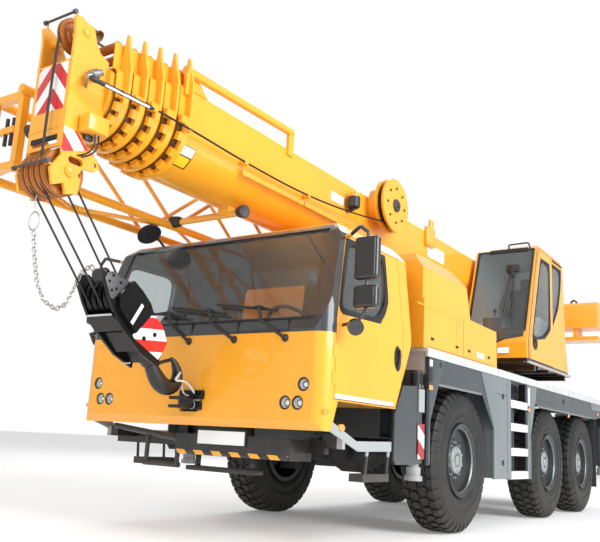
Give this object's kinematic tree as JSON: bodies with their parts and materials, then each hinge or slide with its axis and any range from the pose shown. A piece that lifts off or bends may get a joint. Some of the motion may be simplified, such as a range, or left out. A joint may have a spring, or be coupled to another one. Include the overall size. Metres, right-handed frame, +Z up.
{
  "type": "mobile crane",
  "caption": "Telescopic road crane: steered wheeled carrier with driver's cab and outriggers, slewing upper part with crane cab, nested boom, lashed hook block and side-stowed lattice jib.",
  "frame": {"origin": "on the ground under the middle of the whole object's length and width", "axes": "+X forward towards the driver's cab, +Y to the vehicle's left, +Z up"},
  "size_m": [10.987, 3.124, 3.6178],
  "materials": {
    "crane_yellow": "gloss",
    "chassis_grey": "satin",
    "deck_aluminium": "satin",
    "engine_iron": "rough",
    "cab_glass": "gloss",
    "black_trim": "matte",
    "sheave_polymer": "satin",
    "block_black": "gloss",
    "rod_chrome": "gloss",
    "winch_steel": "satin",
    "rim_grey": "satin",
    "tyre_rubber": "matte",
    "knuckle_steel": "rough",
    "rod_steel": "satin"
  },
  "bodies": {
    "chassis": {"chassis_frame": "chassis_grey", "deck": "deck_aluminium", "side_panels": "chassis_grey", "front_bumper": "chassis_grey", "engine_block": "engine_iron", "engine_hood": "crane_yellow", "axle_beams": "chassis_grey", "driver_cab": "crane_yellow", "driver_cab_glass": "cab_glass", "driver_cab_interior": "black_trim"},
    "superstructure": {"turntable": "crane_yellow", "counterweight": "crane_yellow"},
    "winch": {"winch_drum": "winch_steel"},
    "crane_cab_body": {"crane_cab": "crane_yellow", "crane_cab_glass": "cab_glass"},
    "crane_cab_sliding_door": {"crane_cab_door": "crane_yellow", "crane_cab_door_glass": "cab_glass"},
    "luffing_barrel_body": {"luffing_barrel": "crane_yellow"},
    "luffing_rod_body": {"luffing_rod": "rod_chrome"},
    "boom": {"boom_base": "crane_yellow", "luffing_lugs": "crane_yellow", "lattice_jib": "crane_yellow"},
    "telescope_1": {"boom_section_1": "crane_yellow"},
    "telescope_2": {"boom_section_2": "crane_yellow"},
    "telescope_3": {"boom_section_3": "crane_yellow"},
    "telescope_4": {"boom_section_4": "crane_yellow"},
    "boom_head": {"boom_head_section": "crane_yellow", "head_sheaves": "sheave_polymer"},
    "lower_block": {"hook_block": "block_black"},
    "load_hook": {"hook": "block_black"},
    "driver_door_left_body": {"driver_door_left": "crane_yellow", "driver_door_glass_left": "cab_glass"},
    "driver_door_right_body": {"driver_door_right": "crane_yellow", "driver_door_glass_right": "cab_glass"},
    "knuckle_1_left_body": {"knuckle_1_left": "knuckle_steel"},
    "wheel_1_left": {"rim_1_left": "rim_grey", "tyre_1_left": "tyre_rubber"},
    "knuckle_1_right_body": {"knuckle_1_right": "knuckle_steel"},
    "wheel_1_right": {"rim_1_right": "rim_grey", "tyre_1_right": "tyre_rubber"},
    "knuckle_2_left_body": {"knuckle_2_left": "knuckle_steel"},
    "wheel_2_left": {"rim_2_left": "rim_grey", "tyre_2_left": "tyre_rubber"},
    "knuckle_2_right_body": {"knuckle_2_right": "knuckle_steel"},
    "wheel_2_right": {"rim_2_right": "rim_grey", "tyre_2_right": "tyre_rubber"},
    "knuckle_3_left_body": {"knuckle_3_left": "knuckle_steel"},
    "wheel_3_left": {"rim_3_left": "rim_grey", "tyre_3_left": "tyre_rubber"},
    "knuckle_3_right_body": {"knuckle_3_right": "knuckle_steel"},
    "wheel_3_right": {"rim_3_right": "rim_grey", "tyre_3_right": "tyre_rubber"},
    "outrigger_front_left": {"outrigger_beam_front_left": "chassis_grey"},
    "jack_front_left": {"jack_leg_front_left": "rod_steel"},
    "outrigger_front_right": {"outrigger_beam_front_right": "chassis_grey"},
    "jack_front_right": {"jack_leg_front_right": "rod_steel"},
    "outrigger_rear_left": {"outrigger_beam_rear_left": "chassis_grey"},
    "jack_rear_left": {"jack_leg_rear_left": "rod_steel"},
    "outrigger_rear_right": {"outrigger_beam_rear_right": "chassis_grey"},
    "jack_rear_right": {"jack_leg_rear_right": "rod_steel"}
  },
  "joints": [
    {"name": "driver_door_left_hinge", "type": "hinge", "parent": "chassis", "child": "driver_door_left_body", "pos_m": [3.612, 1.268, 1.7], "axis": [0, 0, -1], "range_deg": [0, 70]},
    {"name": "driver_door_right_hinge", "type": "hinge", "parent": "chassis", "child": "driver_door_right_body", "pos_m": [3.612, -1.268, 1.7], "axis": [0, 0, 1], "range_deg": [0, 70]},
    {"name": "steer_1_left", "type": "hinge", "parent": "chassis", "child": "knuckle_1_left_body", "pos_m": [1.1, 0.88, 0.685], "axis": [0, 0, 1], "range_deg": [-35, 35]},
    {"name": "roll_1_left", "type": "hinge", "parent": "knuckle_1_left_body", "child": "wheel_1_left", "pos_m": [1.1, 1.048, 0.685], "axis": [0, 1, 0], "continuous": true},
    {"name": "steer_1_right", "type": "hinge", "parent": "chassis", "child": "knuckle_1_right_body", "pos_m": [1.1, -0.88, 0.685], "axis": [0, 0, 1], "range_deg": [-35, 35]},
    {"name": "roll_1_right", "type": "hinge", "parent": "knuckle_1_right_body", "child": "wheel_1_right", "pos_m": [1.1, -1.048, 0.685], "axis": [0, 1, 0], "continuous": true},
    {"name": "steer_2_left", "type": "hinge", "parent": "chassis", "child": "knuckle_2_left_body", "pos_m": [-1.8, 0.88, 0.685], "axis": [0, 0, 1], "range_deg": [-12, 12]},
    {"name": "roll_2_left", "type": "hinge", "parent": "knuckle_2_left_body", "child": "wheel_2_left", "pos_m": [-1.8, 1.048, 0.685], "axis": [0, 1, 0], "continuous": true},
    {"name": "steer_2_right", "type": "hinge", "parent": "chassis", "child": "knuckle_2_right_body", "pos_m": [-1.8, -0.88, 0.685], "axis": [0, 0, 1], "range_deg": [-12, 12]},
    {"name": "roll_2_right", "type": "hinge", "parent": "knuckle_2_right_body", "child": "wheel_2_right", "pos_m": [-1.8, -1.048, 0.685], "axis": [0, 1, 0], "continuous": true},
    {"name": "steer_3_left", "type": "hinge", "parent": "chassis", "child": "knuckle_3_left_body", "pos_m": [-3.45, 0.88, 0.685], "axis": [0, 0, 1], "range_deg": [-20, 20]},
    {"name": "roll_3_left", "type": "hinge", "parent": "knuckle_3_left_body", "child": "wheel_3_left", "pos_m": [-3.45, 1.048, 0.685], "axis": [0, 1, 0], "continuous": true},
    {"name": "steer_3_right", "type": "hinge", "parent": "chassis", "child": "knuckle_3_right_body", "pos_m": [-3.45, -0.88, 0.685], "axis": [0, 0, 1], "range_deg": [-20, 20]},
    {"name": "roll_3_right", "type": "hinge", "parent": "knuckle_3_right_body", "child": "wheel_3_right", "pos_m": [-3.45, -1.048, 0.685], "axis": [0, 1, 0], "continuous": true},
    {"name": "beam_front_left", "type": "slide", "parent": "chassis", "child": "outrigger_front_left", "axis": [0, 1, 0], "range_m": [0, 1.9]},
    {"name": "jack_front_left_drop", "type": "slide", "parent": "outrigger_front_left", "child": "jack_front_left", "axis": [0, 0, -1], "range_m": [0, 0.6]},
    {"name": "beam_front_right", "type": "slide", "parent": "chassis", "child": "outrigger_front_right", "axis": [0, -1, 0], "range_m": [0, 1.9]},
    {"name": "jack_front_right_drop", "type": "slide", "parent": "outrigger_front_right", "child": "jack_front_right", "axis": [0, 0, -1], "range_m": [0, 0.6]},
    {"name": "beam_rear_left", "type": "slide", "parent": "chassis", "child": "outrigger_rear_left", "axis": [0, 1, 0], "range_m": [0, 1.9]},
    {"name": "jack_rear_left_drop", "type": "slide", "parent": "outrigger_rear_left", "child": "jack_rear_left", "axis": [0, 0, -1], "range_m": [0, 0.6]},
    {"name": "beam_rear_right", "type": "slide", "parent": "chassis", "child": "outrigger_rear_right", "axis": [0, -1, 0], "range_m": [0, 1.9]},
    {"name": "jack_rear_right_drop", "type": "slide", "parent": "outrigger_rear_right", "child": "jack_rear_right", "axis": [0, 0, -1], "range_m": [0, 0.6]},
    {"name": "slew", "type": "hinge", "parent": "chassis", "child": "superstructure", "pos_m": [-1.65, 0, 1.79], "axis": [0, 0, 1], "continuous": true},
    {"name": "winch_turn", "type": "hinge", "parent": "superstructure", "child": "winch", "pos_m": [-3.3, 0, 2.45], "axis": [0, 1, 0], "continuous": true},
    {"name": "crane_cab_tilt", "type": "hinge", "parent": "superstructure", "child": "crane_cab_body", "pos_m": [-2.77, 0.82, 1.915], "axis": [0, -1, 0], "range_deg": [0, 20]},
    {"name": "crane_cab_door_slide", "type": "slide", "parent": "crane_cab_body", "child": "crane_cab_sliding_door", "axis": [-1, 0, 0], "range_m": [0, 0.6]},
    {"name": "luff", "type": "hinge", "parent": "superstructure", "child": "boom", "pos_m": [-3.9, 0, 3], "axis": [0, -1, 0], "range_deg": [0, 82]},
    {"name": "luffing_barrel_turn", "type": "hinge", "parent": "superstructure", "child": "luffing_barrel_body", "pos_m": [-2.7, 0, 2.03], "axis": [0, -1, 0], "range_deg": [0, 82.09]},
    {"name": "luffing_rod_slide", "type": "slide", "parent": "luffing_barrel_body", "child": "luffing_rod_body", "axis": [0.9854, 0, 0.1702], "range_m": [0, 2.0246]},
    {"name": "telescope_1_slide", "type": "slide", "parent": "boom", "child": "telescope_1", "axis": [1, 0, 0], "range_m": [0, 7.35]},
    {"name": "telescope_2_slide", "type": "slide", "parent": "telescope_1", "child": "telescope_2", "axis": [1, 0, 0], "range_m": [0, 7.35]},
    {"name": "telescope_3_slide", "type": "slide", "parent": "telescope_2", "child": "telescope_3", "axis": [1, 0, 0], "range_m": [0, 7.35]},
    {"name": "telescope_4_slide", "type": "slide", "parent": "telescope_3", "child": "telescope_4", "axis": [1, 0, 0], "range_m": [0, 7.35]},
    {"name": "telescope_5_slide", "type": "slide", "parent": "telescope_4", "child": "boom_head", "axis": [1, 0, 0], "range_m": [0, 7.35]},
    {"name": "block_swing", "type": "hinge", "parent": "boom_head", "child": "lower_block", "pos_m": [5.29, 0, 2.44], "axis": [0, 1, 0], "range_deg": [-45, 0]},
    {"name": "hook_swivel", "type": "hinge", "parent": "lower_block", "child": "load_hook", "pos_m": [4.2233, 0, 1.31915], "axis": [0.7431, 0, 0.6691], "continuous": true}
  ],
  "couplings": [
    {"joint": "steer_1_right", "follows": "steer_1_left", "ratio": 1},
    {"joint": "steer_2_right", "follows": "steer_2_left", "ratio": 1},
    {"joint": "steer_3_right", "follows": "steer_3_left", "ratio": 1},
    {"joint": "luffing_barrel_turn", "follows": "luff", "ratio": 1.0011},
    {"joint": "luffing_rod_slide", "follows": "luff", "m_per_rad": 1.4146},
    {"joint": "telescope_2_slide", "follows": "telescope_1_slide", "ratio": 1},
    {"joint": "telescope_3_slide", "follows": "telescope_1_slide", "ratio": 1},
    {"joint": "telescope_4_slide", "follows": "telescope_1_slide", "ratio": 1},
    {"joint": "telescope_5_slide", "follows": "telescope_1_slide", "ratio": 1}
  ]
}
